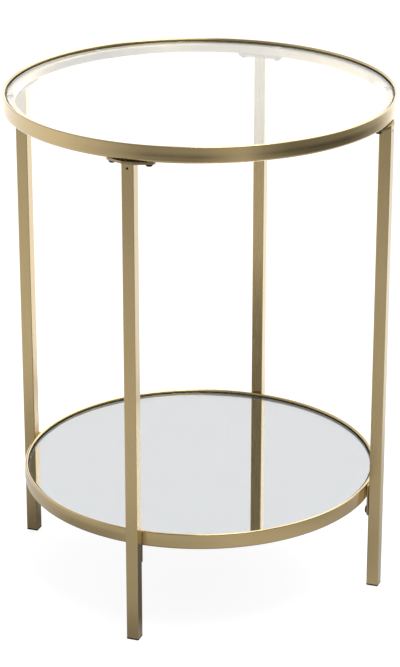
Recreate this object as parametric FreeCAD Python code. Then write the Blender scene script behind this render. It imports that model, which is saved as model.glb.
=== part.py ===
import FreeCAD, Part

# Round two-tier side table. A ring of rebated tube holds a clear glass top, a smaller ring of the same tube
# holds a mirror shelf, and four square tube legs are screwed to both.
#
# Millimetres. The origin is on the floor under the middle of the table and +Z is up. The legs stand on the
# axes: right on +X, back on +Y, left on -X and front on -Y. What belongs to a leg is drawn at the right leg,
# where X runs outward along the table's radius and Y along its rim, and is then turned to each leg's place.

import math
import os

from FreeCAD import Vector

# Table
TABLE_HEIGHT = 630.0  # floor to the rim of the top ring
TOP_DIAMETER = 480.0  # over the top ring
SHELF_HEIGHT = 140.0  # floor to the rim of the shelf ring
LEG_NAMES = ("right", "back", "left", "front")

# Rebated tube that both rings are rolled from
RING_WIDTH = 15.0
RING_HEIGHT = 20.0
RING_WALL = 1.2
LIP_WIDTH = 4.0  # the upstand round the pane
REBATE_DEPTH = 9.0  # from the rim down to the ledge that carries the pane
RING_EDGE_CHAMFER = 1.5  # along the upper outer rim
RING_VENT_DIAMETER = 4.0

# Panes and the square-cut pads under them
GLASS_THICKNESS = 5.0
MIRROR_THICKNESS = 5.0
PANE_CLEARANCE = 2.0  # between a pane's edge and the lip
PAD_SIDE = 8.0
PAD_THICKNESS = 1.0
PAD_COUNT = 6
PAD_START_ANGLE = 24.0

# Legs
LEG_SIDE = 15.0
LEG_WALL = 1.2
LEG_EDGE_RADIUS = 1.0
LEG_OVERHANG = 2.5  # how far a leg's outer face stands outside the top ring
LEG_VENT_DIAMETER = 3.0
LEG_VENT_DROP = 5.0  # from the leg's top end down to its vent

# Flange plates welded on the legs' top ends
PLATE_THICKNESS = 3.0
PLATE_SCREW_SPACING = 45.0
PLATE_MARGIN = 7.0  # from a screw to the plate's end and to its inner edge
PLATE_END_CUT = 3.0  # corners cut off the plate's ends
PLATE_HOLE_DIAMETER = 4.5

# Tabs welded on the shelf ring
TAB_THICKNESS = 2.0
TAB_WIDTH = 15.0
TAB_DROP = 17.0  # from the ring's underside down to the tab's screw
TAB_MARGIN = 7.5  # from the screw to the tab's lower end
TAB_END_CUT = 4.0  # corners cut off the tab's lower end
TAB_HOLE_DIAMETER = 6.6

# Foot plugs
PLUG_FLANGE_THICKNESS = 2.0
PLUG_SPIGOT_LENGTH = 16.0
PLUG_CORE_SIDE = 7.0
PLUG_FIN_THICKNESS = 1.2
PLUG_FIN_COUNT = 3
PLUG_CLEARANCE = 0.1  # between a fin and the inside of the leg
PLUG_CORNER_CUT = 0.7  # keeps the flange's corners inside the leg's rounded ones

# Hexagon rivet nuts: a flange outside the wall and a bulge clinched behind it, all measured across flats
NUT_FLANGE_THICKNESS = 0.5
NUT_BULGE = 1.0  # how much wider the bulge is than the body
NUT_BULGE_HEIGHT = 1.5
NUT_HOLE_CLEARANCE = 0.1  # between each flat of the body and its hole
TOP_NUT_WIDTH = 6.0
TOP_NUT_FLANGE_WIDTH = 8.0
TOP_NUT_END_CLEARANCE = 2.8  # between a nut's end and the wall under the ledge
SHELF_NUT_WIDTH = 9.0
SHELF_NUT_FLANGE_WIDTH = 10.5
SHELF_NUT_END_CLEARANCE = 3.6  # between a nut's end and the leg's outer wall

# Screws
THREAD_CLEARANCE = 0.1  # between the crests of a screw's thread and its nut
SCREW_PROUD = 0.5  # how far a screw's tip stands out of its nut
TOP_SCREW_DIAMETER = 4.0
TOP_HEAD_DIAMETER = 8.0
TOP_HEAD_HEIGHT = 2.8
SHELF_SCREW_DIAMETER = 6.0
SHELF_HEAD_DIAMETER = 10.5
SHELF_HEAD_HEIGHT = 3.3

# Places worked out from the sizes above
TOP_RADIUS = TOP_DIAMETER / 2
LEG_RADIUS = TOP_RADIUS + LEG_OVERHANG - LEG_SIDE / 2  # from the table's axis to a leg's
LEG_INNER_FACE = LEG_RADIUS - LEG_SIDE / 2
LEG_OUTER_FACE = LEG_RADIUS + LEG_SIDE / 2
LEG_BORE = LEG_SIDE - 2 * LEG_WALL
LEG_BOTTOM = PLUG_FLANGE_THICKNESS
TOP_UNDERSIDE = TABLE_HEIGHT - RING_HEIGHT
LEG_TOP = TOP_UNDERSIDE - NUT_FLANGE_THICKNESS - PLATE_THICKNESS
SHELF_RADIUS = LEG_INNER_FACE - NUT_FLANGE_THICKNESS - TAB_THICKNESS
SHELF_UNDERSIDE = SHELF_HEIGHT - RING_HEIGHT
TAB_TOP = SHELF_HEIGHT - RING_EDGE_CHAMFER
TAB_SCREW_HEIGHT = SHELF_UNDERSIDE - TAB_DROP
TOP_SCREW_Y = PLATE_SCREW_SPACING / 2
TOP_SCREW_X = math.sqrt((TOP_RADIUS - RING_WIDTH / 2) ** 2 - TOP_SCREW_Y**2)  # on the ring's middle line
TOP_NUT_LENGTH = RING_HEIGHT - REBATE_DEPTH - RING_WALL - TOP_NUT_END_CLEARANCE
SHELF_NUT_LENGTH = LEG_SIDE - LEG_WALL - SHELF_NUT_END_CLEARANCE

DRILL_RUN = 0.5  # how far a drill starts before a wall and runs past it
TOUCHING = 1e-6  # lengths nearer than this are the same
FULL_TURN = 360.0
LEG_PITCH = FULL_TURN / len(LEG_NAMES)
HEXAGON_SIDES = 6
UP = Vector(0, 0, 1)
OUT = Vector(1, 0, 0)
CENTRE = Vector(0, 0, 0)
TOP_SCREW_PLACES = [Vector(TOP_SCREW_X, y, 0) for y in (-TOP_SCREW_Y, TOP_SCREW_Y)]
TAB_SCREW_PLACE = Vector(0, 0, TAB_SCREW_HEIGHT)


def closed_face(points):
    """Flat face inside a closed line through the points."""
    return Part.Face(Part.makePolygon(points + points[:1]))


def revolved(points):
    """Solid of a profile of (radius, height) points turned once round the Z axis."""
    outline = [Vector(radius, 0, height) for radius, height in points]
    return closed_face(outline).revolve(CENTRE, UP, FULL_TURN)


def hexagon_bar(width, bottom, top):
    """Hexagonal bar along Z, measured across its flats."""
    first_corner = Vector(width / math.sqrt(3), 0, bottom)
    turns = [FreeCAD.Rotation(UP, FULL_TURN * index / HEXAGON_SIDES) for index in range(HEXAGON_SIDES)]
    return closed_face([turn.multVec(first_corner) for turn in turns]).extrude(UP * (top - bottom))


def thread_bar(diameter, bottom, top):
    """Hexagonal bar along Z that stands for a threaded length, its corners on the thread's crests."""
    return hexagon_bar(diameter * math.cos(math.pi / HEXAGON_SIDES), bottom, top)


def square_bar(side, bottom, top):
    """Square bar standing on the leg's axis."""
    return Part.makeBox(side, side, top - bottom, Vector(LEG_RADIUS - side / 2, -side / 2, bottom))


def upright_edges(bar):
    """The four edges of a square bar that run along Z."""
    return [edge for edge in bar.Edges if edge.BoundBox.ZLength > TOUCHING]


def drill(diameter, face_point, direction, wall):
    """Cylinder that bores through one wall, entering at a point on its face."""
    start = face_point - direction * DRILL_RUN
    return Part.makeCylinder(diameter / 2, wall + 2 * DRILL_RUN, start, direction)


def nut_punch(width, wall):
    """Hexagonal punch along Z for the hole that a rivet nut's body fills, the wall's face at height 0."""
    return hexagon_bar(width + 2 * NUT_HOLE_CLEARANCE, -DRILL_RUN, wall + DRILL_RUN)


def placed(shape, position, direction):
    """Copy of a shape drawn along +Z at the origin, moved to a position and pointed in a direction."""
    copy = shape.copy()
    copy.Placement = FreeCAD.Placement(position, FreeCAD.Rotation(UP, direction))
    return copy


def turned(shape, angle):
    """Copy of a shape turned round the table's axis."""
    copy = shape.copy()
    copy.rotate(CENTRE, UP, angle)
    return copy


def at_every_leg(shapes):
    """Copies of some shapes at every leg."""
    return [turned(shape, LEG_PITCH * index) for index in range(len(LEG_NAMES)) for shape in shapes]


def ring_section(outer_radius, rim, inset):
    """Corners of the rebated tube's stepped section, or of its hollow where inset is the wall."""
    outer = outer_radius - inset
    lip = outer_radius - LIP_WIDTH + inset
    inner = outer_radius - RING_WIDTH + inset
    ledge = rim - REBATE_DEPTH - inset
    top = rim - inset
    bottom = rim - RING_HEIGHT + inset
    return [(outer, top), (lip, top), (lip, ledge), (inner, ledge), (inner, bottom), (outer, bottom)]


def rolled_ring(outer_radius, rim):
    """Rebated tube rolled and closed into a hollow ring, its lip outside and its ledge inside."""
    tube = revolved(ring_section(outer_radius, rim, 0))
    hollow = revolved(ring_section(outer_radius, rim, RING_WALL))
    rim_circles = [edge for edge in tube.Edges if edge.BoundBox.ZMin > rim - TOUCHING]
    outer_rim = max(rim_circles, key=lambda circle: circle.Length)
    return tube.makeChamfer(RING_EDGE_CHAMFER, [outer_rim]).cut(hollow)


def top_ring():
    """Ring round the glass, with a hexagonal hole in its floor for each rivet nut."""
    punch = nut_punch(TOP_NUT_WIDTH, RING_WALL)
    punches = [placed(punch, place + UP * TOP_UNDERSIDE, UP) for place in TOP_SCREW_PLACES]
    return rolled_ring(TOP_RADIUS, TABLE_HEIGHT).cut(at_every_leg(punches))


def shelf_ring():
    """Ring round the mirror, with the vent in its floor that a closed tube needs for its plating bath."""
    middle = Vector(SHELF_RADIUS - RING_WIDTH / 2, 0, SHELF_UNDERSIDE)
    vent = drill(RING_VENT_DIAMETER, middle, UP, RING_WALL)
    return rolled_ring(SHELF_RADIUS, SHELF_HEIGHT).cut(turned(vent, LEG_PITCH / 2))


def pane_radius(ring_radius):
    """Radius of the pane that lies inside a ring's lip."""
    return ring_radius - LIP_WIDTH - PANE_CLEARANCE


def pane(ring_radius, rim, thickness):
    """Round pane lying on the pads of its ring."""
    bottom = rim - REBATE_DEPTH + PAD_THICKNESS
    return Part.makeCylinder(pane_radius(ring_radius), thickness, UP * bottom)


def pads(ring_radius, rim):
    """Square-cut pads spaced evenly round a ledge, in the middle of what the pane covers of it."""
    middle = (ring_radius - RING_WIDTH + pane_radius(ring_radius)) / 2
    corner = Vector(middle - PAD_SIDE / 2, -PAD_SIDE / 2, rim - REBATE_DEPTH)
    pad = Part.makeBox(PAD_SIDE, PAD_SIDE, PAD_THICKNESS, corner)
    return [turned(pad, PAD_START_ANGLE + FULL_TURN * index / PAD_COUNT) for index in range(PAD_COUNT)]


def leg():
    """Square tube with a vent near its top and a hexagonal hole in its inner wall for a rivet nut."""
    bar = square_bar(LEG_SIDE, LEG_BOTTOM, LEG_TOP)
    outside = bar.makeFillet(LEG_EDGE_RADIUS, upright_edges(bar))
    inside = square_bar(LEG_BORE, LEG_BOTTOM, LEG_TOP)
    vent_centre = Vector(LEG_OUTER_FACE, 0, LEG_TOP - LEG_VENT_DROP)
    vent = drill(LEG_VENT_DIAMETER, vent_centre, -OUT, LEG_WALL)
    punch = placed(nut_punch(SHELF_NUT_WIDTH, LEG_WALL), TAB_SCREW_PLACE + OUT * LEG_INNER_FACE, OUT)
    return outside.cut([inside, vent, punch])


def leg_plate():
    """Flange plate flush with the leg's outer face, tapering to a narrow end past each screw."""
    inner = TOP_SCREW_X - PLATE_MARGIN
    outer = TOP_SCREW_X + PLATE_MARGIN - PLATE_END_CUT
    end = TOP_SCREW_Y + PLATE_MARGIN
    half = [
        Vector(LEG_OUTER_FACE, LEG_SIDE / 2, LEG_TOP),
        Vector(outer, end - PLATE_END_CUT, LEG_TOP),
        Vector(outer - PLATE_END_CUT, end, LEG_TOP),
        Vector(inner + PLATE_END_CUT, end, LEG_TOP),
        Vector(inner, end - PLATE_END_CUT, LEG_TOP),
    ]
    other_half = [Vector(point.x, -point.y, point.z) for point in reversed(half)]
    blank = closed_face(half + other_half).extrude(UP * PLATE_THICKNESS)
    centres = [place + UP * LEG_TOP for place in TOP_SCREW_PLACES]
    return blank.cut([drill(PLATE_HOLE_DIAMETER, centre, UP, PLATE_THICKNESS) for centre in centres])


def shelf_tab():
    """Upright tab against the outside of the shelf ring, its lower corners cut off round the screw."""
    side = TAB_WIDTH / 2
    end = TAB_SCREW_HEIGHT - TAB_MARGIN
    half = [
        Vector(SHELF_RADIUS, side, TAB_TOP),
        Vector(SHELF_RADIUS, side, end + TAB_END_CUT),
        Vector(SHELF_RADIUS, side - TAB_END_CUT, end),
    ]
    other_half = [Vector(point.x, -point.y, point.z) for point in reversed(half)]
    blank = closed_face(half + other_half).extrude(OUT * TAB_THICKNESS)
    return blank.cut(drill(TAB_HOLE_DIAMETER, TAB_SCREW_PLACE + OUT * SHELF_RADIUS, OUT, TAB_THICKNESS))


def foot_plug():
    """Foot flange under the leg's end, and a spigot whose thin fins grip the inside of the tube."""
    spigot_top = LEG_BOTTOM + PLUG_SPIGOT_LENGTH
    fin_pitch = PLUG_SPIGOT_LENGTH / PLUG_FIN_COUNT
    fin_side = LEG_BORE - 2 * PLUG_CLEARANCE
    fin_tops = [spigot_top - fin_pitch * index for index in range(PLUG_FIN_COUNT)]
    fins = [square_bar(fin_side, top - PLUG_FIN_THICKNESS, top) for top in fin_tops]
    core = square_bar(PLUG_CORE_SIDE, LEG_BOTTOM, spigot_top)
    square = square_bar(LEG_SIDE, 0, LEG_BOTTOM)
    flange = square.makeChamfer(PLUG_CORNER_CUT, upright_edges(square))
    return flange.fuse([core] + fins).removeSplitter()


def rivet_nut(screw_diameter, width, flange_width, wall, length):
    """Rivet nut along Z, its flange on a wall's face at height 0 and a bulge clinched behind the wall."""
    flange = hexagon_bar(flange_width, -NUT_FLANGE_THICKNESS, 0)
    body = hexagon_bar(width, 0, length)
    bulge = hexagon_bar(width + NUT_BULGE, wall, wall + NUT_BULGE_HEIGHT)
    bore = thread_bar(screw_diameter + 2 * THREAD_CLEARANCE, -NUT_FLANGE_THICKNESS, length)
    return flange.fuse([body, bulge]).cut(bore).removeSplitter()


def screw(diameter, length, head_diameter, head_height):
    """Screw along Z with the underside of its round head at height 0."""
    head = Part.makeCylinder(head_diameter / 2, head_height, UP * -head_height)
    return head.fuse(thread_bar(diameter, 0, length))


def top_nuts():
    """The two rivet nuts in the top ring's floor over one leg's plate."""
    nut = rivet_nut(TOP_SCREW_DIAMETER, TOP_NUT_WIDTH, TOP_NUT_FLANGE_WIDTH, RING_WALL, TOP_NUT_LENGTH)
    return [placed(nut, place + UP * TOP_UNDERSIDE, UP) for place in TOP_SCREW_PLACES]


def top_screws():
    """The two screws that come up through one leg's plate."""
    length = PLATE_THICKNESS + NUT_FLANGE_THICKNESS + TOP_NUT_LENGTH + SCREW_PROUD
    top_screw = screw(TOP_SCREW_DIAMETER, length, TOP_HEAD_DIAMETER, TOP_HEAD_HEIGHT)
    return [placed(top_screw, place + UP * LEG_TOP, UP) for place in TOP_SCREW_PLACES]


def shelf_nut():
    """The rivet nut in a leg's inner wall."""
    nut = rivet_nut(SHELF_SCREW_DIAMETER, SHELF_NUT_WIDTH, SHELF_NUT_FLANGE_WIDTH, LEG_WALL, SHELF_NUT_LENGTH)
    return placed(nut, TAB_SCREW_PLACE + OUT * LEG_INNER_FACE, OUT)


def shelf_screw():
    """The screw that goes outward through a tab into its leg."""
    length = TAB_THICKNESS + NUT_FLANGE_THICKNESS + SHELF_NUT_LENGTH + SCREW_PROUD
    upright_screw = screw(SHELF_SCREW_DIAMETER, length, SHELF_HEAD_DIAMETER, SHELF_HEAD_HEIGHT)
    return placed(upright_screw, TAB_SCREW_PLACE + OUT * SHELF_RADIUS, OUT)


def write_node(name, shape):
    """Write one node's solids to its STEP file."""
    shape.exportStep("parts/" + name + ".step")


def write_at_each_leg(prefix, shape):
    """Write one node for each leg, named after the leg."""
    for index, leg_name in enumerate(LEG_NAMES):
        write_node(prefix + leg_name, turned(shape, LEG_PITCH * index))


os.makedirs("parts", exist_ok=True)
write_node("top_ring", top_ring())
write_node("top_glass", pane(TOP_RADIUS, TABLE_HEIGHT, GLASS_THICKNESS))
write_node("top_glass_pads", Part.makeCompound(pads(TOP_RADIUS, TABLE_HEIGHT)))
write_node("shelf_ring", shelf_ring())
write_node("shelf_mirror", pane(SHELF_RADIUS, SHELF_HEIGHT, MIRROR_THICKNESS))
write_node("shelf_mirror_pads", Part.makeCompound(pads(SHELF_RADIUS, SHELF_HEIGHT)))
write_at_each_leg("leg_", leg())
write_at_each_leg("leg_plate_", leg_plate())
write_at_each_leg("shelf_tab_", shelf_tab())
write_at_each_leg("foot_plug_", foot_plug())
write_node("top_rivet_nuts", Part.makeCompound(at_every_leg(top_nuts())))
write_node("top_screws", Part.makeCompound(at_every_leg(top_screws())))
write_node("shelf_rivet_nuts", Part.makeCompound(at_every_leg([shelf_nut()])))
write_node("shelf_screws", Part.makeCompound(at_every_leg([shelf_screw()])))
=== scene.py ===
import logging
import math
from dataclasses import dataclass, field
from enum import Enum
from typing import ClassVar

import bpy
import numpy as np
from bpy.types import Material, Node, NodeTree, Object, World
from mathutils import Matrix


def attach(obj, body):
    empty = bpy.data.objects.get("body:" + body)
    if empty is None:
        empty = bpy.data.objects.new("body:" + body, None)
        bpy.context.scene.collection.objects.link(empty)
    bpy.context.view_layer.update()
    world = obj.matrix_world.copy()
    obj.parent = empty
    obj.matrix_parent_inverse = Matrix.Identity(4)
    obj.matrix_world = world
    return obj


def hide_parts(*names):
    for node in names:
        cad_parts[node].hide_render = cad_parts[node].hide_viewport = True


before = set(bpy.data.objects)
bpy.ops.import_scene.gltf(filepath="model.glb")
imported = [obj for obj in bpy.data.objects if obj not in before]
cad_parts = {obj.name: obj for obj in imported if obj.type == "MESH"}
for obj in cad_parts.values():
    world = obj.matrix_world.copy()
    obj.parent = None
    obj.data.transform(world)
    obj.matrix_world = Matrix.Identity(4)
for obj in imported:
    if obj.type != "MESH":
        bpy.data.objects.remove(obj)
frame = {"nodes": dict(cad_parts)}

# Looks of a round two-tier side table, in metres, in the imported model's frame. The origin is on the floor
# under the table's middle, +Z is up, and the legs stand on the axes, the front leg on -Y.

LOG = logging.getLogger("side_table")
MM = 0.001
TURN = 2 * math.pi
LEGS = 4
UP = np.array([0.0, 0.0, 1.0])
RIM_MAP = "rim"
GLASS_IOR = 1.52
WHITE = "#FFFFFF"

# Settings of nodes that mix colours and that ease in and out, and a colour Mix node's sockets.
COLOURS = {"data_type": "RGBA"}
EASED = {"interpolation_type": "SMOOTHSTEP"}
FIRST, SECOND, MIXED = 6, 7, 2
# Nearly all of a noise lies between these.
NOISE_SPAN = {"From Min": 0.3, "From Max": 0.7}

Colour = tuple[float, float, float, float]
Stops = tuple[tuple[float, float], ...]


def linear(code: str) -> Colour:
    """Turns an sRGB hex colour into linear light.

    A part p from 0 to 1 becomes p / 12.92 up to 0.04045, and ((p + 0.055) / 1.055) to the power 2.4 above it.

    Args:
        code: The colour as "#RRGGBB".

    Returns:
        The colour in linear light, with an alpha of 1.
    """
    parts = [int(code[start:start + 2], 16) / 255 for start in (1, 3, 5)]
    red, green, blue = [p / 12.92 if p <= 0.04045 else ((p + 0.055) / 1.055) ** 2.4 for p in parts]
    return red, green, blue, 1.0


def grey(level: float) -> Colour:
    """Returns the grey of a brightness in linear light, which is over 1 for a lamp or a lit wall."""
    return level, level, level, 1.0


def add(tree: NodeTree, kind: str, settings: dict | None = None, inputs: dict | None = None,
        stops: Stops = ()) -> Node:
    """Adds a node with its settings, values and links.

    Args:
        tree: The node tree that the node goes into.
        kind: The node's type, without "ShaderNode".
        settings: Values of the node's own properties by name.
        inputs: Values by socket name or number. A pair of a node and an output's name or number is linked.
        stops: A Color Ramp's stops, as pairs of a place from 0 to 1 and a brightness.

    Returns:
        The new node.
    """
    node = tree.nodes.new("ShaderNode" + kind)
    for name, value in (settings or {}).items():
        setattr(node, name, value)
    for name, value in (inputs or {}).items():
        if isinstance(value, tuple) and isinstance(value[0], Node):
            tree.links.new(value[0].outputs[value[1]], node.inputs[name])
        else:
            node.inputs[name].default_value = value
    if stops:
        elements = node.color_ramp.elements
        elements.remove(elements[-1])
        elements[0].position = stops[0][0]
        elements[0].color = grey(stops[0][1])
        for place, level in stops[1:]:
            elements.new(place).color = grey(level)
    return node


def fresh_tree(owner: Material | World) -> NodeTree:
    """Empties the node tree of a material or world.

    Args:
        owner: The material or world.

    Returns:
        Its node tree, with no nodes.
    """
    owner.use_nodes = True
    owner.node_tree.nodes.clear()
    return owner.node_tree


@dataclass
class Skin:
    """A closed surface.

    Attributes:
        points: The vertices, one row each.
        normals: Their outward normals, or None where the faces give them.
        corners: The vertices of all faces, one face after another.
        sizes: The number of corners of each face.
        finishes: The number of each face's material.
        uv: The place of each corner along and across the rim, on a ring.
    """

    points: np.ndarray
    normals: np.ndarray | None
    corners: np.ndarray
    sizes: np.ndarray
    finishes: np.ndarray
    uv: np.ndarray | None = None

    def copied(self, turns: np.ndarray, places: np.ndarray) -> "Skin":
        """Makes one skin of many copies of this one.

        Args:
            turns: The 3x3 matrix that turns each copy.
            places: The place that each copy then moves to, one row each.

        Returns:
            The copies in order, without normals of their own.
        """
        copies = len(places)
        points = self.points @ turns.transpose(0, 2, 1) + places[:, None]
        starts = np.arange(copies)[:, None] * len(self.points)
        return Skin(points.reshape(-1, 3), None, (self.corners + starts).ravel(), np.tile(self.sizes, copies),
                    np.tile(self.finishes, copies))

    def piece(self, name: str, materials: list[Material], crease: float = 30.0) -> Object:
        """Makes the skin into an object.

        Args:
            name: The object's name.
            materials: The materials, in the order that the finishes number them.
            crease: The angle in degrees past which an edge is sharp, on a skin without normals.

        Returns:
            The object, at the origin, in the scene's collection.
        """
        mesh = bpy.data.meshes.new(name)
        faces = np.split(self.corners, np.cumsum(self.sizes)[:-1])
        mesh.from_pydata(self.points.tolist(), [], [face.tolist() for face in faces])
        for material in materials:
            mesh.materials.append(material)
        mesh.polygons.foreach_set("material_index", self.finishes.astype(np.int32))
        mesh.polygons.foreach_set("use_smooth", np.ones(len(self.sizes), dtype=bool))
        if self.uv is not None:
            mesh.uv_layers.new(name=RIM_MAP).data.foreach_set("uv", self.uv.astype(np.float32).ravel())
        if self.normals is None:
            mesh.set_sharp_from_angle(angle=math.radians(crease))
        else:
            mesh.normals_split_custom_set_from_vertices(self.normals.tolist())
        mesh.validate()
        piece = bpy.data.objects.new(name, mesh)
        bpy.context.scene.collection.objects.link(piece)
        return piece


def rounded(outline: np.ndarray, radii: np.ndarray, steps: int) -> tuple[np.ndarray, np.ndarray]:
    """Rounds the corners of a closed flat outline that runs clockwise.

    Each corner becomes an arc that touches both sides. With w half the angle at the corner, the arc's centre
    is on the bisector at radius / sin(w), and its ends are at radius / tan(w) along the sides u and v.
    Normals point away from the centre where the outline turns right, and towards it where it turns left.

    Args:
        outline: The corners, one row each.
        radii: The rounding radius at each corner.
        steps: The number of points on each arc.

    Returns:
        The outline's points and their outward normals, one row each.
    """
    before, after = np.roll(outline, 1, 0) - outline, np.roll(outline, -1, 0) - outline
    u = before / np.linalg.norm(before, axis=1, keepdims=True)
    v = after / np.linalg.norm(after, axis=1, keepdims=True)
    half = np.arccos(np.clip((u * v).sum(1), -1, 1)) / 2
    bisector = (u + v) / np.linalg.norm(u + v, axis=1, keepdims=True)
    centre = outline + bisector * (radii / np.sin(half))[:, None]
    first = outline + u * (radii / np.tan(half))[:, None] - centre
    last = outline + v * (radii / np.tan(half))[:, None] - centre
    share = np.linspace(0, 1, steps)[None, :, None]
    sweep = (math.pi - 2 * half)[:, None, None]
    arcs = np.sin((1 - share) * sweep) * first[:, None] + np.sin(share * sweep) * last[:, None]
    arcs /= np.sin(sweep)
    side = np.sign(u[:, 0] * v[:, 1] - u[:, 1] * v[:, 0])
    normals = arcs / radii[:, None, None] * side[:, None, None]
    return (centre[:, None] + arcs).reshape(-1, 2), normals.reshape(-1, 2)


def swept(radii: np.ndarray, heights: np.ndarray, angles: np.ndarray) -> np.ndarray:
    """Stands a profile at each angle round the Z axis, where a point is (radius cos a, radius sin a, height).

    Args:
        radii: The profile's radii, or a row of them for each angle.
        heights: The profile's heights.
        angles: The angles in radians.

    Returns:
        A grid of points, with a row of the profile's points for each angle.
    """
    cosine, sine = np.cos(angles)[:, None], np.sin(angles)[:, None]
    rise = np.broadcast_to(heights, (len(angles), len(heights)))
    return np.stack([radii * cosine, radii * sine, rise], 2)


def wound(turns: int, count: int, spans: int) -> np.ndarray:
    """Makes the faces of a grid that is closed round the axis.

    Args:
        turns: The number of rows.
        count: The number of points in a row.
        spans: The number of faces in a row, equal to the count on a closed row.

    Returns:
        The four corners of each face, one row each.
    """
    i, j = np.indices((turns, spans))
    k, m = (i + 1) % turns, (j + 1) % count
    return np.stack([i * count + j, i * count + m, k * count + m, k * count + j], 2).reshape(-1, 4)


def spun_ring(profile: np.ndarray, slopes: np.ndarray, angles: np.ndarray) -> Skin:
    """Turns a closed profile once round the Z axis.

    Args:
        profile: Rows of radius and height, clockwise with the radius to the right.
        slopes: The profile's outward normals.
        angles: The angles in radians, rising, over one turn.

    Returns:
        The skin, mapped in metres along the rim and across the profile.
    """
    turns, count = len(angles), len(profile)
    sides = np.linalg.norm(np.roll(profile, -1, 0) - profile, axis=1)
    along = np.append(angles, angles[0] + TURN) * profile[:, 0].max()
    across = np.concatenate([[0], np.cumsum(sides)])
    i, j = np.indices((turns, count))
    uv = np.stack([along[np.stack([i, i, i + 1, i + 1], 2)], across[np.stack([j, j + 1, j + 1, j], 2)]], 3)
    return Skin(swept(*profile.T, angles).reshape(-1, 3), swept(*slopes.T, angles).reshape(-1, 3),
                wound(turns, count, count).ravel(), np.full(turns * count, 4), np.zeros(turns * count),
                uv.reshape(-1, 2))


def capped(points: np.ndarray, normals: np.ndarray | None, finishes: np.ndarray) -> Skin:
    """Closes a grid of open profiles round the Z axis by a pole on the axis at each end.

    Args:
        points: The grid, with a row of the profile's points for each angle.
        normals: The outward normals, likewise, or None.
        finishes: The finish of the span that follows each profile point, and of the last cap.

    Returns:
        The skin. Its first cap has the first span's finish.
    """
    turns, count = points.shape[:2]
    total = turns * count
    here = np.arange(turns)
    there = (here + 1) % turns
    first_cap = np.stack([np.full(turns, total), here * count, there * count], 1)
    last_cap = np.stack([np.full(turns, total + 1), (there + 1) * count - 1, (here + 1) * count - 1], 1)
    quads = wound(turns, count, count - 1)
    if normals is not None:
        normals = np.concatenate([normals.reshape(-1, 3), np.sign(normals[0, [0, -1]]) * UP])
    return Skin(np.concatenate([points.reshape(-1, 3), points[0, [0, -1]] * UP]), normals,
                np.concatenate([quads.ravel(), first_cap.ravel(), last_cap.ravel()]),
                np.repeat([4, 3], [len(quads), 2 * turns]),
                np.concatenate([np.tile(finishes[:-1], turns), np.repeat(finishes[[0, -1]], turns)]))


@dataclass(frozen=True)
class Finish:
    """The finish of one real material.

    Attributes:
        name: The material's name.
    """

    name: str

    def surface(self, tree: NodeTree) -> Node:
        """Adds the finish's own nodes and returns its shader."""
        raise NotImplementedError

    def material(self) -> Material:
        """Builds the material.

        Returns:
            The material, with the finish's surface.
        """
        material = bpy.data.materials.new(self.name)
        tree = fresh_tree(material)
        add(tree, "OutputMaterial", inputs={"Surface": (self.surface(tree), 0)})
        return material


class Grain(Enum):
    """Which way the fine lines of a satin finish run."""

    UPRIGHT = "along the tube's length, up the leg"
    ROUND_RIM = "round the rolled ring"
    EVEN = "no way in particular, on small pressed parts"


@dataclass(frozen=True)
class SatinPlating(Finish):
    """Champagne plating on mild steel tube, satin-brushed before plating and clear-lacquered.

    The steel's fine lines show through it as streaks, and the lacquer lays a faint sharper gloss on top.

    Attributes:
        grain: Which way the lines run.
        colour: The plating where it is thin.
        deep_colour: The plating where it is thick.
        roughness: Of the plating, near its smoothest.
        line: From one line to the next, or half the width of a pressing's texture. Drawn coarser than real.
        streak: Length of a line.
        cloud: Width of a thin or thick place.
    """

    grain: Grain
    colour: str = "#D0B988"
    deep_colour: str = "#C7AE7B"
    roughness: float = 0.28
    line: float = 0.6 * MM
    streak: float = 60 * MM
    cloud: float = 90 * MM

    def surface(self, tree: NodeTree) -> Node:
        """Adds the plating: streaks drive its roughness and bump, a wide cloud its colour.

        Args:
            tree: The material's nodes.

        Returns:
            The shader.
        """
        fine, long = 1 / self.line, 1 / self.streak
        scales = {Grain.UPRIGHT: (fine, fine, long), Grain.ROUND_RIM: (long, fine, 1),
                  Grain.EVEN: (fine / 2,) * 3}
        if self.grain is Grain.ROUND_RIM:
            place = (add(tree, "UVMap", {"uv_map": RIM_MAP}), "UV")
        else:
            place = (add(tree, "TexCoord"), "Object")
        stretched = add(tree, "Mapping", inputs={"Vector": place, "Scale": scales[self.grain]})
        streaks = add(tree, "TexNoise", inputs={
            "Vector": (stretched, "Vector"), "Scale": 1.0, "Detail": 3.0})
        clouds = add(tree, "TexNoise", inputs={"Vector": place, "Scale": 1 / self.cloud, "Detail": 2.0})
        rough = add(tree, "MapRange", inputs={
            "Value": (streaks, "Fac"), **NOISE_SPAN,
            "To Min": self.roughness - 0.04, "To Max": self.roughness + 0.06})
        tint = add(tree, "Mix", COLOURS, {
            "Factor": (clouds, "Fac"), FIRST: linear(self.colour), SECOND: linear(self.deep_colour)})
        bump = add(tree, "Bump", inputs={
            "Height": (streaks, "Fac"), "Strength": 0.12, "Distance": 0.02 * MM})
        return add(tree, "BsdfPrincipled", inputs={
            "Base Color": (tint, MIXED), "Metallic": 1.0, "Roughness": (rough, "Result"),
            "Normal": (bump, "Normal"), "Coat Weight": 0.8, "Coat Roughness": 0.18})


def mottle(tree: NodeTree, size: float, detail: float) -> Node:
    """Adds a noise over the piece's own coordinates, in waves of a size in metres."""
    place = add(tree, "TexCoord")
    return add(tree, "TexNoise", inputs={"Vector": (place, "Object"), "Scale": 1 / size, "Detail": detail})


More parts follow.
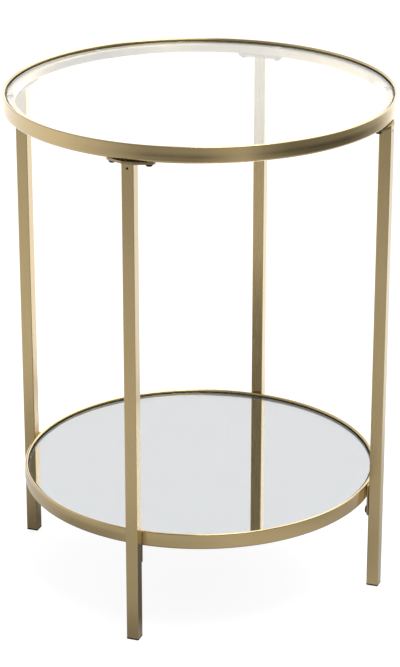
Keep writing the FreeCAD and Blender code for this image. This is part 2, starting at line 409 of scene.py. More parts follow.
@dataclass(frozen=True)
class FloatGlass(Finish):
    """Clear float glass with fire-polished faces: colourless through the face, with a faint haze of wiping.

    Attributes:
        tint: Of what is seen through it.
        shadow_tint: Of the lamps' light that passes it.
        wipe: Width of a wiping mark.
        haze: The roughness where it was wiped most.
    """

    name: str = "clear_float_glass"
    tint: str = "#FBFDFC"
    shadow_tint: str = "#F2F6F4"
    wipe: float = 40 * MM
    haze: float = 0.012

    def surface(self, tree: NodeTree) -> Node:
        """Adds refracting glass, which lets the lamps' light straight through.

        Args:
            tree: The material's nodes.

        Returns:
            The shader.
        """
        marks = mottle(tree, self.wipe, 4.0)
        haze = add(tree, "MapRange", inputs={
            "Value": (marks, "Fac"), "From Min": 0.4, "From Max": 0.75, "To Min": 0.0, "To Max": self.haze})
        glass = add(tree, "BsdfPrincipled", inputs={
            "Base Color": linear(self.tint), "Roughness": (haze, "Result"), "IOR": GLASS_IOR,
            "Transmission Weight": 1.0})
        clear = add(tree, "BsdfTransparent", inputs={"Color": linear(self.shadow_tint)})
        path = add(tree, "LightPath")
        return add(tree, "MixShader", inputs={0: (path, "Is Shadow Ray"), 1: (glass, 0), 2: (clear, 0)})


@dataclass(frozen=True)
class GroundEdge(Finish):
    """The pane's edge, ground with a diamond wheel: frosted, and grey-green from within.

    Attributes:
        colour: In the grit's hollows.
        bright_colour: Between the hollows.
        grit: Width of a hollow, drawn coarser than real.
    """

    name: str = "ground_glass_edge"
    colour: str = "#353E39"
    bright_colour: str = "#55605A"
    grit: float = 0.5 * MM

    def surface(self, tree: NodeTree) -> Node:
        """Adds rough half-clear glass with the wheel's grit in its colour and bump.

        Args:
            tree: The material's nodes.

        Returns:
            The shader.
        """
        grit = mottle(tree, self.grit, 2.0)
        tint = add(tree, "Mix", COLOURS, {
            "Factor": (grit, "Fac"), FIRST: linear(self.colour), SECOND: linear(self.bright_colour)})
        bump = add(tree, "Bump", inputs={
            "Height": (grit, "Fac"), "Strength": 0.3, "Distance": 0.05 * MM})
        return add(tree, "BsdfPrincipled", inputs={
            "Base Color": (tint, MIXED), "Roughness": 0.45, "IOR": GLASS_IOR, "Transmission Weight": 0.15,
            "Normal": (bump, "Normal")})


@dataclass(frozen=True)
class Silvering(Finish):
    """Silver laid chemically on the back of the shelf's glass: a cool, almost perfect mirror.

    Attributes:
        colour: Of the silver.
        far_colour: The colour that it drifts to.
        drift: Width of a place where it differs.
    """

    name: str = "silvered_mirror_back"
    colour: str = "#EBEAEE"
    far_colour: str = "#E8E7EB"
    drift: float = 70 * MM

    def surface(self, tree: NodeTree) -> Node:
        """Adds smooth metal whose roughness and colour drift a little over the pane.

        Args:
            tree: The material's nodes.

        Returns:
            The shader.
        """
        drift = mottle(tree, self.drift, 3.0)
        rough = add(tree, "MapRange", inputs={"Value": (drift, "Fac"), "To Min": 0.015, "To Max": 0.045})
        tint = add(tree, "Mix", COLOURS, {
            "Factor": (drift, "Fac"), FIRST: linear(self.colour), SECOND: linear(self.far_colour)})
        return add(tree, "BsdfPrincipled", inputs={
            "Base Color": (tint, MIXED), "Metallic": 1.0, "Roughness": (rough, "Result")})


@dataclass(frozen=True)
class Mottled(Finish):
    """A plain material whose colour, roughness and surface vary a little, at the size of its own texture.

    Attributes:
        colour: The main colour.
        other_colour: The colour that it drifts to.
        grain_mm: The size of its texture.
        roughness: In the middle of its range.
        metallic: 1 for a metal.
        bump_mm: How deep its texture is.
        transmission: How clear it is, from 0 to 1.
    """

    colour: str
    other_colour: str
    grain_mm: float
    roughness: float
    metallic: float = 0.0
    bump_mm: float = 0.03
    transmission: float = 0.0

    def surface(self, tree: NodeTree) -> Node:
        """Adds the surface from one noise of the texture's size.

        Args:
            tree: The material's nodes.

        Returns:
            The shader.
        """
        texture = mottle(tree, self.grain_mm * MM, 3.0)
        rough = add(tree, "MapRange", inputs={
            "Value": (texture, "Fac"), **NOISE_SPAN,
            "To Min": self.roughness - 0.06, "To Max": self.roughness + 0.06})
        tint = add(tree, "Mix", COLOURS, {
            "Factor": (texture, "Fac"), FIRST: linear(self.colour), SECOND: linear(self.other_colour)})
        bump = add(tree, "Bump", inputs={
            "Height": (texture, "Fac"), "Strength": 0.4, "Distance": self.bump_mm * MM})
        return add(tree, "BsdfPrincipled", inputs={
            "Base Color": (tint, MIXED), "Roughness": (rough, "Result"), "Normal": (bump, "Normal"),
            "Metallic": self.metallic, "Transmission Weight": self.transmission})


# Polyethylene, injection-moulded and black: the plugs, with the mould's orange peel.
MOULDED_PLUG = Mottled("black_moulded_polyethylene", "#0E0E0E", "#171717", 1.5, 0.5)
# Polyurethane dome pads, poured and cut: water-clear and soft, slightly milky.
CLEAR_PAD = Mottled("clear_cast_polyurethane", "#F7F4EC", "#EFECE2", 2.0, 0.3, transmission=0.6)
# Steel screws, cold-headed and black-oxided: near black with an oily brown sheen.
BLACK_OXIDE = Mottled("black_oxide_steel", "#131211", "#201D1A", 1.2, 0.35, metallic=0.3)
# Steel rivet nuts, cold-drawn and bright zinc-plated: cool grey with a soft spangle.
BRIGHT_ZINC = Mottled("bright_zinc_steel", "#B9BDC1", "#A6ABB0", 2.5, 0.3, metallic=1.0)
# Grey two-coat paint, curtain-coated over the silver: dull and even.
BACKING_PAINT = Mottled("grey_mirror_backing_paint", "#6E7577", "#666C6E", 3.0, 0.55)


@dataclass
class RolledRing:
    """One ring of rebated tube, rolled and butt-welded, with its pane's ledge inside and its lip outside.

    Attributes:
        node: The CAD node that it stands for.
        radius: Over the ring, to the top of the weld.
        rim: Height of the lip's top.
        seam: Angle of the butt weld, in degrees from +X.
        width: Of the section, from the top of the weld to the inner wall.
        height: Of the section.
        lip: Width of the lip, from the top of the weld inwards.
        rebate: From the lip's top down to the ledge.
        crown: How far the outer wall bulges in its middle.
        bevel_width: How much the bevel takes off the lip's top.
        bevel_height: How far down the outer wall it reaches.
        weld_height: Of the dressed weld over the tube.
        weld_width: From its ridge to where it is down to about a third.
        rounding: Radius at each corner, clockwise from the bevel's upper edge.
        arc_steps: Points on each rounded corner.
        steps: Points round the ring.
        seam_reach: How far from the seam there are more points, in degrees.
        seam_shares: Where they lie, as shares of that reach.
    """

    node: str
    radius: float
    rim: float
    seam: float
    width: float = 15 * MM
    height: float = 20 * MM
    lip: float = 4.6 * MM
    rebate: float = 9 * MM
    crown: float = 0.35 * MM
    bevel_width: float = 0.3 * MM
    bevel_height: float = 4.5 * MM
    weld_height: float = 0.25 * MM
    weld_width: float = 1.0 * MM
    rounding: tuple[float, ...] = (1.7 * MM, 15 * MM, 80 * MM, 3 * MM, 1.5 * MM, 1 * MM, 0.6 * MM, 2 * MM)
    arc_steps: int = 9
    steps: int = 420
    seam_reach: float = 0.5
    seam_shares: tuple[float, ...] = (0, 0.15, 0.3, 0.5, 0.75, 1)

    def profile(self) -> tuple[np.ndarray, np.ndarray]:
        """Works out the rounded section, clockwise from the bevel's upper edge.

        The rolls leave the outer wall crowned: it has one more corner at mid height, whose large radius
        reaches both edges' roundings. The lip's outer edge is bevelled steeply and rounded over.

        Returns:
            The section's points and their outward normals.
        """
        full, lip, inner = self.radius - self.weld_height, self.radius - self.lip, self.radius - self.width
        outer, middle = full - self.crown, self.rim - self.height / 2
        ledge, bottom = self.rim - self.rebate, self.rim - self.height
        outline = np.array([
            (outer - self.bevel_width, self.rim), (outer, self.rim - self.bevel_height), (full, middle),
            (outer, bottom), (inner, bottom), (inner, ledge), (lip, ledge), (lip, self.rim)])
        return rounded(outline, np.array(self.rounding), self.arc_steps)

    def skin(self) -> Skin:
        """Spins the section and raises the dressed weld on it.

        Each point near the seam goes out level, by the weld's height times exp(-(distance from the seam /
        weld's width) squared) times how far its normal is level.

        Returns:
            The ring's skin.
        """
        profile, slopes = self.profile()
        even = np.arange(self.steps) * TURN / self.steps
        near = np.array(self.seam_shares) * math.radians(self.seam_reach)
        angles = np.unique(np.concatenate([even, near, -near % TURN]))
        skin = spun_ring(profile, slopes, angles + math.radians(self.seam))
        away = np.repeat(np.minimum(angles, TURN - angles) * self.radius, len(profile))
        rise = self.weld_height * np.exp(-(away / self.weld_width) ** 2)
        outside = np.tile(np.clip(slopes[:, 0], 0, 1), len(angles))
        skin.points[:, :2] += skin.normals[:, :2] * (rise * outside)[:, None]
        return skin

    def build(self, finish: Material) -> Object:
        """Makes the ring's piece.

        Args:
            finish: The ring's material.

        Returns:
            The piece, riding on the frame.
        """
        piece = self.skin().piece(self.node + "_tube", [finish])
        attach(piece, "frame")
        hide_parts(self.node)
        return piece


@dataclass
class Pane:
    """A round pane with ground edges: clear for the top, silvered on its underside for the shelf.

    Attributes:
        node: The CAD node that it stands for, and its body.
        slot: The record's material slot. Not used.
        radius: Of the pane.
        top: Height of its upper face.
        coat: Thickness of the silver and its paint, or 0 on a clear pane.
        thickness: Of the pane, its coat included.
        arris: How much the wheel takes off each edge.
        ground: How far in from the rim the ground finish reaches, as a share of the arris.
        gap: Between the glass and its coat, so that their faces stay apart.
        coat_cut: How much is cut off the coat's edges, as a share of the coat.
        silver: Where silver ends and paint begins, as a share of the coat's height.
        rounding: Radius at both ends of a cut, as a share of the cut.
        arc_steps: Points on each rounded edge.
        steps: Points round the pane.
    """

    node: str
    slot: str
    radius: float
    top: float
    coat: float = 0.0
    thickness: float = 5 * MM
    arris: float = 0.8 * MM
    ground: float = 1.01
    gap: float = 0.02 * MM
    coat_cut: float = 0.25
    silver: float = 0.99
    rounding: float = 0.3
    arc_steps: int = 4
    steps: int = 256

    def section(self, top: float, bottom: float, radius: float, cut: float) -> tuple[np.ndarray, np.ndarray]:
        """Works out half the section of a disc whose edges are cut back at 45 degrees.

        Args:
            top: Height of the upper face.
            bottom: Height of the lower face.
            radius: Of the disc.
            cut: How much is cut off each edge, both ways.

        Returns:
            The section's points from the upper edge to the lower one, and their outward normals.
        """
        outline = np.array([(0, top), (radius - cut, top), (radius, top - cut), (radius, bottom + cut),
                            (radius - cut, bottom), (0, bottom)])
        points, normals = rounded(outline, np.full(len(outline), cut * self.rounding), self.arc_steps)
        off_axis = slice(self.arc_steps, -self.arc_steps)
        return points[off_axis], normals[off_axis]

    def disc(self, points: np.ndarray, normals: np.ndarray, finishes: np.ndarray) -> Skin:
        """Spins half a section into a disc, closed by a pole in the middle of each face."""
        angles = np.arange(self.steps) * TURN / self.steps
        return capped(swept(*points.T, angles), swept(*normals.T, angles), finishes)

    def glass(self) -> Skin:
        """Shapes the glass. Finish 0 is its faces and 1 its ground edge.

        Returns:
            The glass's skin.
        """
        lower = self.top - self.thickness + (self.coat + self.gap if self.coat else 0)
        points, normals = self.section(self.top, lower, self.radius, self.arris)
        finishes = np.where(points[:, 0] > self.radius - self.arris * self.ground, 1, 0)
        finishes[-self.arc_steps:] = 0
        return self.disc(points, normals, finishes)

    def back(self) -> Skin:
        """Shapes the coat behind the glass. Finish 0 is its silver and 1 its paint.

        Returns:
            The coat's skin.
        """
        bottom, radius = self.top - self.thickness, self.radius - self.arris
        points, normals = self.section(bottom + self.coat, bottom, radius, self.coat * self.coat_cut)
        finishes = np.where(points[:, 1] > bottom + self.coat * self.silver, 0, 1)
        return self.disc(points, normals, finishes)

    def build(self, glass: list[Material], back: list[Material]) -> list[Object]:
        """Makes the glass and, for the mirror, the coat behind it.

        Args:
            glass: The materials of the glass and of its ground edge.
            back: The materials of a mirror's silver and paint.

        Returns:
            The pieces, riding on the pane's body.
        """
        pieces = [self.glass().piece(self.node + "_pane", glass)]
        if self.coat:
            pieces.append(self.back().piece(self.node + "_silvering", back))
        for piece in pieces:
            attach(piece, self.node)
            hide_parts(self.node)
        return pieces


@dataclass
class ButtonScrew:
    """A hexagon-socket button screw, its head towards +Z and its head's seat at height 0.

    Attributes:
        diameter: Of the thread.
        length: From the seat to the tip.
        head: Diameter of the head.
        head_height: From the seat to the crown.
        socket: Across the socket's flats.
        pitch: Of the thread.
        socket_depth: As a share of the head's height.
        socket_ring: Depth of the points half down it, as a share of its depth.
        lead_in: Depth of the cut at the socket's mouth, and from the socket's corners to the dome.
        land: Width of the flat ring between that cut and the dome.
        rim_height: Of the head's upright edge, as a share of the head's height.
        dome_steps: Points from the land to the head's edge.
        run_out: From the seat to the first thread.
        tip_height: Of the cone at the tip.
        tip_cut: How much the cone takes off the radius.
        thread_depth: As a share of the pitch.
        thread_steps: Points along the shank for one turn.
        around: Points round the screw.
    """

    diameter: float
    length: float
    head: float
    head_height: float
    socket: float
    pitch: float
    socket_depth: float = 0.6
    socket_ring: float = 0.6
    lead_in: float = 0.25 * MM
    land: float = 0.2 * MM
    rim_height: float = 0.12
    dome_steps: int = 12
    run_out: float = 0.2 * MM
    tip_height: float = 0.4 * MM
    tip_cut: float = 0.6 * MM
    thread_depth: float = 0.495
    thread_steps: int = 6
    around: int = 48

    def skin(self) -> Skin:
        """Works out the screw as one surface, from the socket's floor over the head and down to the tip.

        The head runs out as sin of an angle and falls as the root of its cos, fuller than an ellipse. The
        socket's radius is half the flats over cos of the angle to the nearest flat. The thread falls from its
        crest by a triangle wave of (distance from the seat / pitch - angle / full turn).

        Returns:
            The screw's skin, without normals.
        """
        crown, thread, edge = self.head_height, self.diameter / 2, self.head / 2
        mouth = self.socket / math.sqrt(3) + self.lead_in
        depth = self.socket_depth * crown
        lean = np.linspace(0, math.pi / 2, self.dome_steps)
        dome = crown * (self.rim_height + (1 - self.rim_height) * np.sqrt(np.cos(lean).clip(0)))
        shank = np.linspace(self.run_out, self.length - self.tip_height,
                            int(self.thread_steps * self.length / self.pitch))
        radii = np.concatenate([
            [self.socket / 2] * 3, [mouth - self.land], mouth + (edge - mouth) * np.sin(lean), [edge, thread],
            np.full(len(shank), thread), [thread - self.tip_cut]])
        heights = np.concatenate([
            [crown - depth, crown - depth * self.socket_ring, crown - self.lead_in, crown], dome, [0, 0],
            -shank, [-self.length]])
        angles = np.arange(self.around) * TURN / self.around
        flat = TURN / 6
        grid = np.repeat(radii[None], self.around, 0)
        grid[:, :3] /= np.cos((angles + flat / 2) % flat - flat / 2)[:, None]
        phase = (shank[None] / self.pitch - angles[:, None] / TURN) % 1
        grid[:, -1 - len(shank):-1] -= self.thread_depth * self.pitch * np.abs(phase * 2 - 1)
        return capped(swept(grid, heights, angles), None, np.zeros(len(radii)))


def axes(directions: np.ndarray) -> np.ndarray:
    """Returns the turns that take +Z to upright or level directions of length 1, as 3x3 matrices."""
    sides = np.where(np.abs(directions[:, 2:]) > 0.5, [1.0, 0.0, 0.0], UP)
    return np.stack([sides, np.cross(directions, sides), directions], 2)


@dataclass
class Fasteners:
    """The screws that hold the table together: two under each leg's plate and one through each shelf tab.

    Attributes:
        plate_screw: The screw that goes up through a plate.
        tab_screw: The screw that goes out through a tab.
        plate_seat: Height of the plates' undersides.
        plate_circle: Radius of the circle of the plates' screws.
        plate_spacing: Between the two screws of a plate.
        tab_seat: From the table's middle to the tabs' inner faces.
        tab_height: Height of the tabs' screws.
    """

    plate_screw: ButtonScrew = field(default_factory=lambda: ButtonScrew(
        4 * MM, 11 * MM, 8.4 * MM, 3.2 * MM, 2.5 * MM, 0.7 * MM))
    tab_screw: ButtonScrew = field(default_factory=lambda: ButtonScrew(
        6 * MM, 13.2 * MM, 10.5 * MM, 3.3 * MM, 4 * MM, 1.0 * MM))
    plate_seat: float = 606.5 * MM
    plate_circle: float = 232.5 * MM
    plate_spacing: float = 45 * MM
    tab_seat: float = 225 * MM
    tab_height: float = 103 * MM

    def build(self, finish: Material) -> list[Object]:
        """Makes the two sets of screws.

        Args:
            finish: The screws' material.

        Returns:
            The pieces, riding on the frame.
        """
        aside = math.asin(self.plate_spacing / 2 / self.plate_circle)
        legs = np.arange(LEGS) * TURN / LEGS
        pairs = np.repeat(legs, 2) + np.tile([-aside, aside], LEGS)
        plates = swept(np.array([self.plate_circle]), np.array([self.plate_seat]), pairs)[:, 0]
        outward = np.round(swept(np.ones(1), np.zeros(1), legs)[:, 0])
        tabs = outward * self.tab_seat + UP * self.tab_height
        sets = {"top_screws": self.plate_screw.skin().copied(axes(np.tile(-UP, (len(plates), 1))), plates),
                "shelf_screws": self.tab_screw.skin().copied(axes(-outward), tabs)}
        pieces = []
        for node, skin in sets.items():
            piece = skin.piece(node + "_socket_heads", [finish])
            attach(piece, "frame")
            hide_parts(node)
            pieces.append(piece)
        return pieces


def bearing(tree: NodeTree, parts: Node, heading: float) -> Node:
    """Adds the nodes that turn a direction or a place on the floor into its bearing.

    It is the fraction of (the angle from +X - the heading) / a full turn: 0 to the right of the main view,
    0.25 behind the table, 0.5 to the left and 0.75 in front.

    Args:
        tree: The node tree.
        parts: The node that gives the direction or place as X, Y and Z.
        heading: From the front of the table round to the main view, in radians.

    Returns:
        The node whose output is the bearing, from 0 to 1.
    """
    angle = add(tree, "Math", {"operation": "ARCTAN2"}, {0: (parts, "Y"), 1: (parts, "X")})
    turned = add(tree, "Math", {"operation": "SUBTRACT"}, {0: (angle, 0), 1: heading})
    share = add(tree, "Math", {"operation": "DIVIDE"}, {0: (turned, 0), 1: TURN})
    return add(tree, "Math", {"operation": "FRACT"}, {0: (share, 0)})


def seen_directly(tree: NodeTree) -> Node:
    """Adds the nodes that give 1 where something is seen directly or through glass, and 0 in reflections.

    Args:
        tree: The node tree.

    Returns:
        The node whose output is 1 or 0.
    """
    path = add(tree, "LightPath")
    turns = add(tree, "Math", {"operation": "SUBTRACT"}, {
        0: (path, "Ray Depth"), 1: (path, "Transmission Depth")})
    return add(tree, "Math", {"operation": "LESS_THAN"}, {0: (turns, 0), 1: 0.5})


@dataclass(frozen=True)
class WhiteSweep(Finish):
    """Matt white paint, rolled on the floor and lit up to white where it is seen directly or through glass.

    In reflections it glows with painted light: a painted shadow under the table, then five painted zones,
    each with its own stops by bearing.

    Attributes:
        heading: From the front of the table round to the main view, in radians.
        paint: The share of the light that it gives back.
        glow: How far the paint is lit up by itself.
        painted_shadow_under_table: Its brightness under the table in reflections, a painted shadow.
        PAINTED_LIGHT_ZONES: The zones of painted light: the distances from the middle where each starts and
            is full, and its stops by bearing.
    """

    name: str = "matt_white_sweep"
    heading: float = 0.0
    paint: float = 0.3
    glow: float = 0.88
    painted_shadow_under_table: float = 0.12
    PAINTED_LIGHT_ZONES: ClassVar[tuple[tuple[float, float, Stops], ...]] = (
        (0.18, 0.23, (
            (0.0, 0.55), (0.06, 0.6), (0.3, 1.2), (0.37, 0.5), (0.42, 0.15), (0.5, 0.25), (0.69, 0.28),
            (0.78, 0.45), (0.88, 0.5), (1.0, 0.55))),
        (0.25, 0.36, (
            (0.0, 0.48), (0.033, 0.6), (0.083, 0.7), (0.178, 1.2), (0.306, 1.25), (0.4, 0.65), (0.49, 0.6),
            (0.556, 0.36), (0.62, 0.38), (0.67, 0.5), (0.706, 0.51), (0.75, 0.57), (0.8, 0.66), (0.88, 0.64),
            (0.944, 0.55), (1.0, 0.48))),
        (0.48, 0.66, (
            (0.0, 0.6), (0.083, 0.95), (0.122, 1.25), (0.153, 1.4), (0.25, 1.3), (0.333, 1.2), (0.417, 1.05),
            (0.5, 0.95), (0.569, 0.84), (0.625, 0.67), (0.656, 0.69), (0.69, 0.61), (0.75, 0.6), (0.8, 0.66),
            (0.88, 0.6), (0.944, 0.4), (1.0, 0.6))),
        (1.3, 2.0, (
            (0.0, 0.05), (0.03, 0.12), (0.075, 0.36), (0.125, 1.1), (0.16, 1.5), (0.25, 1.5), (0.306, 1.3),
            (0.42, 1.04), (0.508, 0.99), (0.592, 0.6), (0.633, 0.4), (0.67, 0.14), (0.75, 0.1), (0.79, 0.4),
            (0.814, 0.6), (0.845, 0.2), (0.89, 0.04), (1.0, 0.03))),
        (2.2, 3.0, (
            (0.0, 0.32), (0.075, 0.6), (0.125, 1.2), (0.16, 1.6), (0.3, 1.5), (0.42, 1.1), (0.508, 1.0),
            (0.592, 0.7), (0.633, 0.5), (0.67, 0.36), (0.75, 0.42), (0.814, 0.6), (0.845, 0.38), (0.89, 0.22),
            (1.0, 0.32))))

    def surface(self, tree: NodeTree) -> Node:
        """Adds the paint, with a glow where it is seen directly, and the painted light and shade of the zones
        in reflections.

        Args:
            tree: The material's nodes.

        Returns:
            The shader.
        """
        place = add(tree, "TexCoord")
        parts = add(tree, "SeparateXYZ", inputs={0: (place, "Object")})
        share = bearing(tree, parts, self.heading)
        reach = add(tree, "VectorMath", {"operation": "LENGTH"}, {0: (place, "Object")})
        level = grey(self.painted_shadow_under_table)
        for start, end, stops in self.PAINTED_LIGHT_ZONES:
            zone = add(tree, "ValToRGB", inputs={0: (share, 0)}, stops=stops)
            away = add(tree, "MapRange", EASED, {
                "Value": (reach, "Value"), "From Min": start, "From Max": end})
            mix = add(tree, "Mix", COLOURS, {"Factor": (away, 0), FIRST: level, SECOND: (zone, 0)})
            level = (mix, MIXED)
        # The floor glows in reflections with painted light, and with painted shadow under the table.
        painted_light = add(tree, "Emission", inputs={"Color": level, "Strength": 1.0})
        paint = add(tree, "BsdfDiffuse", inputs={"Color": grey(self.paint)})
        glow = add(tree, "Emission", inputs={"Color": linear(WHITE), "Strength": self.glow})
        lit = add(tree, "AddShader", inputs={0: (paint, 0), 1: (glow, 0)})
        return add(tree, "MixShader", inputs={0: (seen_directly(tree), 0), 1: (painted_light, 0), 2: (lit, 0)})


@dataclass
class Studio:
    """Pale floor, soft light and camera. Lengths are in metres and angles in degrees.

    In reflections, walls, lamp and floor have a brightness that changes with the bearing and stays where it
    is when the camera moves. The floor's brightness there is painted light and shade.

    Attributes:
        heading: From the front of the table round to the main view.
        distance: From the table's middle line to the camera.
        eye: Height of the camera.
        pitch: How far the camera looks down.
        focal: In pixels of the render.
        frame_height: The render's longer side, in pixels.
        sensor: The camera's sensor along that side, in millimetres.
        view_depth: How far the camera sees.
        floor_radius: Of the floor.
        floor_hub: Radius of the one face in its middle.
        floor_first: Radius of the first of its circles.
        floor_circles: Their number.
        floor_steps: Points round the floor.
        floor_drop: How far it lies under the feet, so that their faces stay apart.
        box_size: Length and width of the softbox.
        box_power: In watts.
        box_aside: From the camera round to it.
        box_reach: From the table's middle line to it.
        box_height: Above the floor.
        box_lean: How far it leans towards the table.
        wall_step: Where the low walls end and the high ones are full, above level.
        lamp_edge: Where the high walls end and the lamp is full, above level.
        LOW_WALLS: Their stops by bearing.
        HIGH_WALLS: Their stops by bearing.
        FOOT: How much lower the high walls begin by bearing, as the sine of an angle.
        LAMP: Its stops by bearing.
    """

    heading: float = 19.81
    distance: float = 2.848
    eye: float = 1.444
    pitch: float = 21.7
    focal: float = 2436.0
    frame_height: int = 667
    sensor: float = 36.0
    view_depth: float = 100.0
    floor_radius: float = 14.0
    floor_hub: float = 0.02
    floor_first: float = 0.1
    floor_circles: int = 24
    floor_steps: int = 96
    floor_drop: float = 0.2 * MM
    box_size: tuple[float, float] = (1.2, 0.8)
    box_power: float = 16.0
    box_aside: float = 30.0
    box_reach: float = 0.9
    box_height: float = 2.3
    box_lean: float = 25.0
    wall_step: tuple[float, float] = (20.5, 24.5)
    lamp_edge: tuple[float, float] = (27.5, 33.0)
    LOW_WALLS: ClassVar[Stops] = (
        (0.0, 0.38), (0.06, 0.8), (0.11, 1.5), (0.17, 1.6), (0.31, 1.6), (0.38, 1.05), (0.5, 0.95),
        (0.6, 0.6), (0.64, 0.46), (0.75, 0.48), (0.815, 0.65), (0.87, 0.36), (1.0, 0.38))
    HIGH_WALLS: ClassVar[Stops] = (
        (0.0, 0.1), (0.07, 0.9), (0.11, 1.7), (0.16, 1.7), (0.19, 1.25), (0.22, 0.96), (0.3, 0.96),
        (0.46, 0.9), (0.54, 0.5), (0.59, 0.08), (0.68, 0.08), (0.75, 0.1), (0.81, 0.15),
        (0.87, 0.05), (1.0, 0.1))
    FOOT: ClassVar[Stops] = ((0.12, 0.0), (0.18, 0.07), (0.32, 0.07), (0.4, 0.0))
    LAMP: ClassVar[Stops] = (
        (0.0, 1.2), (0.04, 2.4), (0.2, 3.0), (0.235, 2.2), (0.27, 0.7), (0.5, 0.7), (0.62, 0.2), (0.9, 0.2),
        (1.0, 1.2))

    def camera(self) -> Object:
        """Makes the camera of the main view.

        Returns:
            The camera, which is the scene's.
        """
        data = bpy.data.cameras.new("camera")
        data.sensor_fit, data.sensor_width = "AUTO", self.sensor
        data.lens = self.focal * self.sensor / self.frame_height
        data.clip_end = self.view_depth
        camera = bpy.data.objects.new("camera", data)
        turn = math.radians(self.heading)
        camera.location = (self.distance * math.sin(turn), -self.distance * math.cos(turn), self.eye)
        camera.rotation_euler = (math.radians(90 - self.pitch), 0, turn)
        bpy.context.scene.collection.objects.link(camera)
        bpy.context.scene.camera = camera
        return camera

    def world(self) -> None:
        """Lights the studio from a pale tent, which is white where it is seen directly or through glass."""
        world = bpy.data.worlds.new("studio_tent")
        bpy.context.scene.world = world
        tree = fresh_tree(world)
        place = add(tree, "TexCoord")
        parts = add(tree, "SeparateXYZ", inputs={0: (place, "Generated")})
        share = bearing(tree, parts, math.radians(self.heading))
        low, high, foot, lamp = [
            add(tree, "ValToRGB", inputs={0: (share, 0)}, stops=stops)
            for stops in (self.LOW_WALLS, self.HIGH_WALLS, self.FOOT, self.LAMP)]
        lifted = add(tree, "Math", {"operation": "ADD"}, {0: (parts, "Z"), 1: (foot, 0)})
        tent = (low, 0)
        for rise, band, above in (((lifted, 0), self.wall_step, high), ((parts, "Z"), self.lamp_edge, lamp)):
            start, end = [math.sin(math.radians(angle)) for angle in band]
            over = add(tree, "MapRange", EASED, {"Value": rise, "From Min": start, "From Max": end})
            mix = add(tree, "Mix", COLOURS, {"Factor": (over, 0), FIRST: tent, SECOND: (above, 0)})
            tent = (mix, MIXED)
        shown = add(tree, "Mix", COLOURS, {
            "Factor": (seen_directly(tree), 0), FIRST: tent, SECOND: linear(WHITE)})
        light = add(tree, "Background", inputs={"Color": (shown, MIXED), "Strength": 1.0})
        add(tree, "OutputWorld", inputs={"Surface": (light, 0)})

    def floor(self) -> Object:
        """Lays a round floor whose circles are closer together near the table.

        Returns:
            The floor, which is no part of the table.
        """
        angles = np.linspace(0, TURN, self.floor_steps, endpoint=False)
        circles = np.geomspace(self.floor_first, self.floor_radius, self.floor_circles)
        radii = np.concatenate([[self.floor_hub], circles])
        points = swept(radii, np.full(len(radii), -self.floor_drop), angles).reshape(-1, 3)
        faces = wound(len(angles), len(radii), len(circles)).tolist()
        faces.append(list(range(0, len(points), len(radii))))
        mesh = bpy.data.meshes.new("floor")
        mesh.from_pydata(points.tolist(), [], faces)
        floor = bpy.data.objects.new("floor", mesh)
        bpy.context.scene.collection.objects.link(floor)
        mesh.materials.append(WhiteSweep(heading=math.radians(self.heading)).material())
        return floor

    def softbox(self) -> Object:
        """Hangs a large softbox over the table, a little to the camera's side.

        Returns:
            The softbox.
        """
        data = bpy.data.lights.new("overhead_softbox", "AREA")
        data.shape, data.energy = "RECTANGLE", self.box_power
        data.size, data.size_y = self.box_size
        light = bpy.data.objects.new("overhead_softbox", data)
        turn = math.radians(self.heading + self.box_aside)
        light.location = (self.box_reach * math.sin(turn), -self.box_reach * math.cos(turn), self.box_height)
        light.rotation_euler = (math.radians(self.box_lean), 0, turn)
        bpy.context.scene.collection.objects.link(light)
        return light

    def build(self) -> None:
        """Sets up the whole studio."""
        bpy.context.scene.view_settings.view_transform = "Standard"
        self.world()
        self.floor()
        self.softbox()
        self.camera()


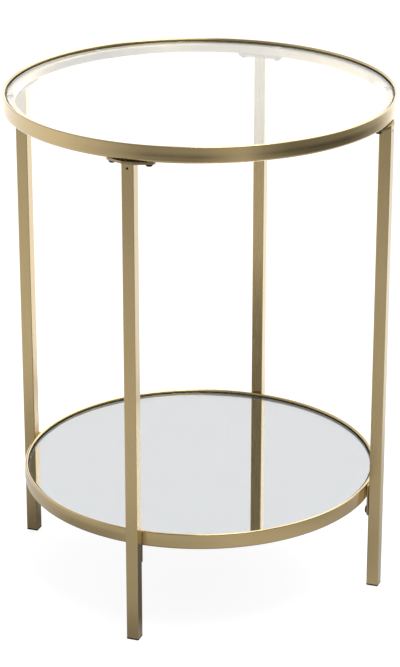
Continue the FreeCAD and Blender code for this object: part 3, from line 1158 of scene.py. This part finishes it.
@dataclass
class SideTable:
    """The whole table: rings, clear top, mirror shelf, legs, plugs, pads and fasteners."""

    top_ring: RolledRing = field(default_factory=lambda: RolledRing("top_ring", 240 * MM, 630 * MM, -39.6))
    shelf_ring: RolledRing = field(default_factory=lambda: RolledRing(
        "shelf_ring", 225 * MM, 140 * MM, 128.0))
    glass: Pane = field(default_factory=lambda: Pane("top_glass", "clear_glass", 234 * MM, 627 * MM))
    mirror: Pane = field(default_factory=lambda: Pane(
        "shelf_mirror", "silvered_mirror", 219 * MM, 137 * MM, coat=0.12 * MM))
    fasteners: Fasteners = field(default_factory=Fasteners)

    def finishes(self) -> dict[str, Material]:
        """Makes the finishes of the CAD nodes that stay.

        Returns:
            The materials by how the nodes' names start. The first that fits a name counts.
        """
        tube = SatinPlating("champagne_plated_leg_tube", Grain.UPRIGHT).material()
        # The pressings are not brushed, so their grain runs no way in particular. Their darker, browner
        # colours are painted shade, for the plates and tabs tucked under the rings.
        painted_shade_pressing = SatinPlating("champagne_pressings_painted_shade", Grain.EVEN, "#AD9A70", "#9C8960").material()
        plug, pad, nut = MOULDED_PLUG.material(), CLEAR_PAD.material(), BRIGHT_ZINC.material()
        return {"leg_plate_": painted_shade_pressing, "leg_": tube, "shelf_tab_": painted_shade_pressing, "foot_plug_": plug,
                "top_glass_pads": pad, "shelf_mirror_pads": pad, "top_rivet_nuts": nut,
                "shelf_rivet_nuts": nut}

    def dress(self, nodes: dict[str, Object]) -> None:
        """Gives every CAD node that stays its finish.

        Args:
            nodes: The CAD nodes by name.
        """
        finishes = self.finishes()
        for name, node in nodes.items():
            found = [finish for start, finish in finishes.items() if name.startswith(start)]
            if found:
                node.data.materials.clear()
                node.data.materials.append(found[0])
                LOG.info("%s has the finish %s", name, found[0].name)

    def build(self, nodes: dict[str, Object]) -> list[Object]:
        """Makes every new piece and dresses the CAD nodes that stay.

        Args:
            nodes: The CAD nodes by name.

        Returns:
            The new pieces.
        """
        # The rings are brushed finer than the legs, so their reflections are a little sharper.
        rim = SatinPlating("champagne_plated_ring_tube", Grain.ROUND_RIM, roughness=0.19).material()
        glass = [FloatGlass().material(), GroundEdge().material()]
        back = [Silvering().material(), BACKING_PAINT.material()]
        pieces = [self.top_ring.build(rim), self.shelf_ring.build(rim)]
        pieces += self.glass.build(glass, back)
        pieces += self.mirror.build(glass, back)
        pieces += self.fasteners.build(BLACK_OXIDE.material())
        self.dress(nodes)
        return pieces


def corners(box: tuple) -> list[list[float]]:
    """Returns a box's two corners as plain lists."""
    return [[float(value) for value in corner] for corner in box]


def main() -> None:
    """Builds the studio and the table."""
    logging.basicConfig(level=logging.INFO, format="%(message)s")
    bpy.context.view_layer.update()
    Studio().build()
    for piece in SideTable().build(frame["nodes"]):
        LOG.info("%s has %d faces", piece.name, len(piece.data.polygons))


if __name__ == "__main__":
    main()
